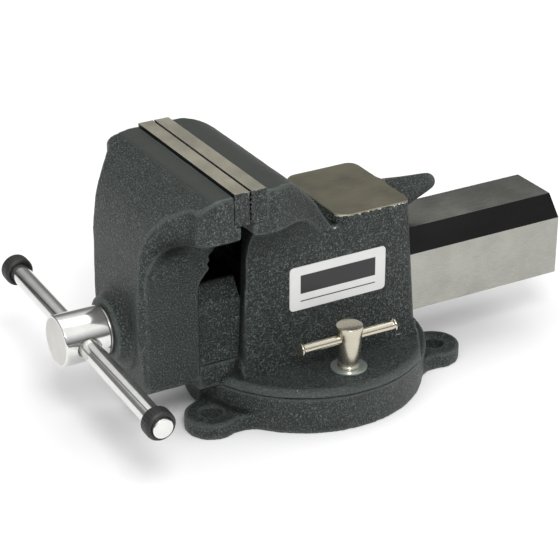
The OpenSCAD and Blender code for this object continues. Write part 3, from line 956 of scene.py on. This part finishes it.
def noise_node(tree, vector, size, detail=2.0, rough=0.5):
    """Noise whose blobs are about the given size in metres."""
    inputs = {"Vector": vector, "Scale": 1 / size, "Detail": detail, "Roughness": rough}
    return add(tree, "TexNoise", inputs).outputs[0]


def spread(tree, value, low, high, to_low=0.0, to_high=1.0):
    """Maps low..high to a new range, clamped."""
    return add(tree, "MapRange", {"Value": value, "From Min": low, "From Max": high,
                                  "To Min": to_low, "To Max": to_high}).outputs[0]


def mix_colours(tree, factor, a, b):
    node = add(tree, "Mix", {"Factor": factor}, data_type="RGBA")
    for socket, value in ((node.inputs[6], a), (node.inputs[7], b)):
        if isinstance(value, bpy.types.NodeSocket):
            tree.links.new(value, socket)
        else:
            socket.default_value = value
    return node.outputs[2]


def bump(tree, height, strength, distance):
    return add(tree, "Bump", {"Height": height, "Strength": strength, "Distance": distance}).outputs[0]


def cast_paint():
    """Dark grey-green paint over sand-cast grain, worn through to bright metal where chipped.

    Shade is painted black in the throat and the hollows, and made metallic as well, so that it doesn't
    shine at a low angle.
    """
    material, out = shader("cast_paint")
    tree = material.node_tree
    where = position(tree)
    smooth_area, chips = attribute(tree, "smooth_area"), attribute(tree, "chips")
    painted_shade, edge = attribute(tree, "painted_shade"), attribute(tree, "edge")
    rough_area = math_node(tree, "SUBTRACT", 1.0, smooth_area)
    grain = noise_node(tree, where, GRAIN, 1.0)
    fine = noise_node(tree, where, FINE_GRAIN, 1.0)
    clouds = noise_node(tree, where, CLOUD, 3.0)

    tone = mix_colours(tree, spread(tree, clouds, 0.35, 0.65), PAINT_DARK, PAINT_LIGHT)
    # bright specks on the grain: partly its tone, partly painted glints
    grain_glint = share(tree, spread(tree, grain, 0.55, 0.70), rough_area)
    tone = mix_colours(tree, share(tree, grain_glint, 0.8), tone, PAINT_GRAIN_GLINT)
    pits = share(tree, spread(tree, grain, 0.48, 0.38), rough_area)
    tone = mix_colours(tree, share(tree, pits, 0.85), tone, PAINT_PIT_AND_SHADE)
    tone = mix_colours(tree, share(tree, smooth_area, 0.85), tone, PAINT_SMOOTH)
    # painted highlight on outer edges and painted shade in inner corners
    tone = mix_colours(tree, spread(tree, edge, 0.15, 0.8, 0.0, 0.6), tone, PAINT_EDGE_HIGHLIGHT)
    tone = mix_colours(tree, spread(tree, edge, -0.15, -0.8, 0.0, 0.8), tone, PAINT_PIT_AND_SHADE)
    # painted shade: black in the throat and the hollows
    tone = mix_colours(tree, painted_shade, tone, SHADE_BLACK)

    patch = noise_node(tree, where, CHIP, 3.0, 0.6)
    limit = spread(tree, chips, 0.0, 1.0, 0.95, 0.47)
    worn = share(tree, math_node(tree, "GREATER_THAN", patch, limit), spread(tree, chips, 0.05, 0.2))
    tone = mix_colours(tree, worn, tone, BARE_METAL)
    # the painted shade is metallic and rough too, so that it reflects almost nothing
    metallic = math_node(tree, "MAXIMUM", share(tree, worn, 0.9), painted_shade)
    roughness = spread(tree, fine, 0.3, 0.7, 0.32, 0.48)
    roughness = math_node(tree, "ADD", roughness, share(tree, smooth_area, 0.1))
    roughness = math_node(tree, "MAXIMUM", roughness, painted_shade)
    height = math_node(tree, "ADD", grain, share(tree, fine, 0.35))
    height = share(tree, height, spread(tree, rough_area, 0.0, 1.0, 0.12, 1.0))
    tree.links.new(tone, out.inputs["Base Color"])
    tree.links.new(metallic, out.inputs["Metallic"])
    tree.links.new(roughness, out.inputs["Roughness"])
    tree.links.new(bump(tree, height, 1.0, GRAIN_HEIGHT), out.inputs["Normal"])
    return material


def black_paint():
    """Thin black paint on the slide bar's chamfers, end and hollow."""
    material, out = shader("black_paint", Specular_IOR_Level=0.12)
    tree = material.node_tree
    grain = noise_node(tree, position(tree), 1.1 * MM, 3.0)
    cloud = noise_node(tree, position(tree, (0.3, 1, 1)), 12 * MM, 2.0)
    tree.links.new(mix_colours(tree, cloud, BLACK_PAINT, BLACK_PAINT_WORN), out.inputs["Base Color"])
    tree.links.new(spread(tree, grain, 0.3, 0.7, 0.5, 0.65), out.inputs["Roughness"])
    tree.links.new(bump(tree, grain, 0.25, 0.2 * MM), out.inputs["Normal"])
    return material


def machined_metal(name, colour, roughness, stretch, streak=0.12):
    """Bare metal with the fine marks of the cutter or grinder along one direction."""
    material, out = shader(name, Metallic=1.0)
    tree = material.node_tree
    marks = noise_node(tree, position(tree, stretch), 0.35 * MM, 3.0, 0.6)
    cloud = noise_node(tree, position(tree), 16 * MM, 3.0)
    dark = tuple(c * 0.78 for c in colour[:3]) + (1,)
    both = math_node(tree, "ADD", share(tree, marks, 0.5), share(tree, cloud, 0.5))
    tone = mix_colours(tree, spread(tree, both, 0.35, 0.62), dark, colour)
    gloss = spread(tree, both, 0.3, 0.7, roughness - streak / 2, roughness + streak / 2)
    tree.links.new(tone, out.inputs["Base Color"])
    tree.links.new(gloss, out.inputs["Roughness"])
    tree.links.new(bump(tree, marks, 0.25, 0.03 * MM), out.inputs["Normal"])
    return material


def plated_metal(name, colour, roughness, metallic=0.85):
    """Chrome, nickel or zinc plate: nearly even, with faint handling marks and haze."""
    material, out = shader(name, Metallic=metallic)
    tree = material.node_tree
    haze = noise_node(tree, position(tree), 7 * MM, 4.0, 0.6)
    scuff = noise_node(tree, position(tree, (1, 0.15, 1)), 0.8 * MM, 3.0, 0.6)
    worn = tuple(c * 0.92 for c in colour[:3]) + (1,)
    tone = mix_colours(tree, spread(tree, haze, 0.35, 0.65), worn, colour)
    tree.links.new(tone, out.inputs["Base Color"])
    tree.links.new(spread(tree, scuff, 0.35, 0.75, roughness, roughness + 0.03), out.inputs["Roughness"])
    return material


def moulded_rubber():
    """Faintly speckled black rubber of the handle's ring caps."""
    material, out = shader("ring_rubber")
    tree = material.node_tree
    speckle = noise_node(tree, position(tree), 0.5 * MM, 2.0)
    tree.links.new(mix_colours(tree, speckle, RUBBER_DARK, RUBBER_LIGHT), out.inputs["Base Color"])
    tree.links.new(spread(tree, speckle, 0.3, 0.7, 0.42, 0.58), out.inputs["Roughness"])
    tree.links.new(bump(tree, speckle, 0.3, 0.1 * MM), out.inputs["Normal"])
    return material


def box_mask(tree, centre, half, soft):
    """1 inside a rectangle on the piece's X-Z plane, 0 outside."""
    split = add(tree, "SeparateXYZ", {0: add(tree, "TexCoord").outputs["Object"]})
    away = []
    for axis, c, h in ((0, centre[0], half[0]), (2, centre[1], half[1])):
        offset = math_node(tree, "ABSOLUTE", math_node(tree, "SUBTRACT", split.outputs[axis], c))
        away.append(math_node(tree, "SUBTRACT", offset, h))
    return spread(tree, math_node(tree, "MAXIMUM", away[0], away[1]), soft, -soft)


def label_print():
    """White gloss label with one plain dark band and a thin rule below it; no lettering."""
    low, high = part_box("label_plate")
    centre = ((low.x + high.x) / 2, (low.z + high.z) / 2)
    half = ((high.x - low.x) / 2, (high.z - low.z) / 2)
    material, out = shader("label_print", Roughness=0.3)
    tree = material.node_tree
    soft, margin = 0.08 * MM, 6 * MM
    band = box_mask(tree, (centre[0], centre[1] + 2 * MM), (half[0] - margin, 5 * MM), soft)
    rule = box_mask(tree, (centre[0], centre[1] - 7 * MM), (half[0] - margin, 0.3 * MM), soft)
    paper = mix_colours(tree, noise_node(tree, position(tree), 6 * MM, 3.0), LABEL_WHITE, LABEL_SHADE)
    inked = math_node(tree, "MAXIMUM", band, rule)
    tree.links.new(mix_colours(tree, inked, paper, LABEL_INK), out.inputs["Base Color"])
    return material


# ---------------------------------------------------------------- studio

def make_world():
    """A soft sky, bright lower down on the near side than on the far one.

    A dark upright stripe on the far side gives the chrome something to reflect.
    """
    world = bpy.data.worlds.new("studio")
    bpy.context.scene.world = world
    world.use_nodes = True
    tree = world.node_tree
    direction = add(tree, "TexCoord").outputs["Generated"]
    split = add(tree, "SeparateXYZ", {0: direction})
    up = split.outputs[2]
    near = spread(tree, split.outputs[1], 0.25, -0.35)
    far_sky = spread(tree, up, 0.40, 0.90, 0.20, 1.25)
    near_sky = spread(tree, up, 0.15, 0.65, 0.14, 1.2)
    sky = add(tree, "Mix", {0: near, 2: far_sky, 3: near_sky}).outputs[0]
    across_stripe = (0.875, 0.485, 0)
    aside = add(tree, "VectorMath", {0: direction, 1: across_stripe}, operation="DOT_PRODUCT")
    aside = math_node(tree, "ABSOLUTE", aside.outputs["Value"])
    stripe = spread(tree, aside, 0.03, 0.06, 0.05, 1.0)
    stripe = math_node(tree, "MAXIMUM", stripe, near)
    background = tree.nodes["Background"]
    background.inputs["Color"].default_value = (1, 1, 1, 1)
    tree.links.new(share(tree, sky, stripe), background.inputs["Strength"])


def make_light(name, place, size, watts):
    """A rectangular lamp that faces the vise."""
    data = bpy.data.lights.new(name, "AREA")
    data.shape = "RECTANGLE"
    data.size, data.size_y = size
    data.energy = watts
    lamp = bpy.data.objects.new(name, data)
    lamp.location = place
    lamp.rotation_euler = (LAMP_TARGET - place).to_track_quat("-Z", "Y").to_euler()
    bpy.context.scene.collection.objects.link(lamp)


def make_floor():
    """A plain pale floor just below the base."""
    bm = bmesh.new()
    bmesh.ops.create_grid(bm, x_segments=4, y_segments=4, size=FLOOR_HALF)
    material, out = shader("studio_floor", Roughness=0.9)
    tree = material.node_tree
    tone = noise_node(tree, position(tree), 0.5, 2.0)
    tree.links.new(mix_colours(tree, tone, FLOOR_DARK, FLOOR_LIGHT), out.inputs["Base Color"])
    floor = new_object("studio_floor", bm, material)
    floor.location.z = cad_low.z - 0.1 * MM


def make_camera():
    """A long lens at the near side, towards the front and above."""
    data = bpy.data.cameras.new("camera")
    data.sensor_width = 36
    data.lens = 128.57
    camera = bpy.data.objects.new("camera", data)
    bpy.context.scene.collection.objects.link(camera)
    azimuth, elevation, distance = math.radians(29.6), math.radians(26.5), 1.0063
    look_at = Vector((-13.2, 0, 56.8)) * MM
    forward = Vector((math.sin(azimuth) * math.cos(elevation), math.cos(azimuth) * math.cos(elevation),
                      -math.sin(elevation)))
    camera.location = look_at - forward * distance
    camera.rotation_euler = forward.to_track_quat("-Z", "Y").to_euler()
    bpy.context.scene.camera = camera


# ---------------------------------------------------------------- assembly

paint = cast_paint()
ground_steel = machined_metal("ground_anvil", (0.30, 0.28, 0.205, 1), 0.36, ANVIL_MARKS)
bar_steel = machined_metal("ground_bar", (0.39, 0.39, 0.35, 1), 0.28, BAR_MARKS)
plate_steel = machined_metal("ground_plate", (0.57, 0.545, 0.44, 1), 0.42, PLATE_MARKS)
grip_steel = machined_metal("blackened_grip", (0.035, 0.035, 0.036, 1), 0.45, EVEN_MARKS)
turned_face = machined_metal("turned_face", (0.60, 0.59, 0.56, 1), 0.34, EVEN_MARKS, streak=0.06)
screw_steel = machined_metal("oiled_screw", (0.45, 0.44, 0.42, 1), 0.3, EVEN_MARKS)
bronze = machined_metal("nut_bronze", (0.42, 0.33, 0.18, 1), 0.4, EVEN_MARKS)
chrome = plated_metal("chrome", (0.74, 0.74, 0.72, 1), 0.1, 0.95)
nickel = plated_metal("nickel", (0.58, 0.54, 0.44, 1), 0.2, 0.95)
zinc = plated_metal("zinc_plate", (0.56, 0.62, 0.60, 1), 0.28)
rubber = moulded_rubber()
handle = handle_line()

make_fixed_casting(paint, ground_steel)
make_front_casting(paint)
make_slide_bar(bar_steel, black_paint())
make_base(paint)
plate_looks = (plate_steel, paint, grip_steel)
make_plate("rear_plate", "rear_jaw_plate", "rear_plate_screws", -1, "vise_body", plate_looks)
make_plate("front_plate", "front_jaw_plate", "front_plate_screws", 1, "front_jaw", plate_looks)
make_label(label_print())
make_spindle_head(handle, chrome, turned_face)
make_screw(screw_steel)
make_handle(handle, chrome, rubber)
make_lock("near", nickel, zinc)
make_lock("far", nickel, zinc)
make_hidden_hardware(zinc, bronze, screw_steel)

bpy.context.scene.view_settings.view_transform = "Standard"
make_world()
make_light("key", Vector((-0.45, -1.1, 1.2)), size=(0.45, 0.45), watts=14)
make_light("top", Vector((0.1, 0.3, 1.6)), size=(1.6, 1.2), watts=4)
make_floor()
make_camera()
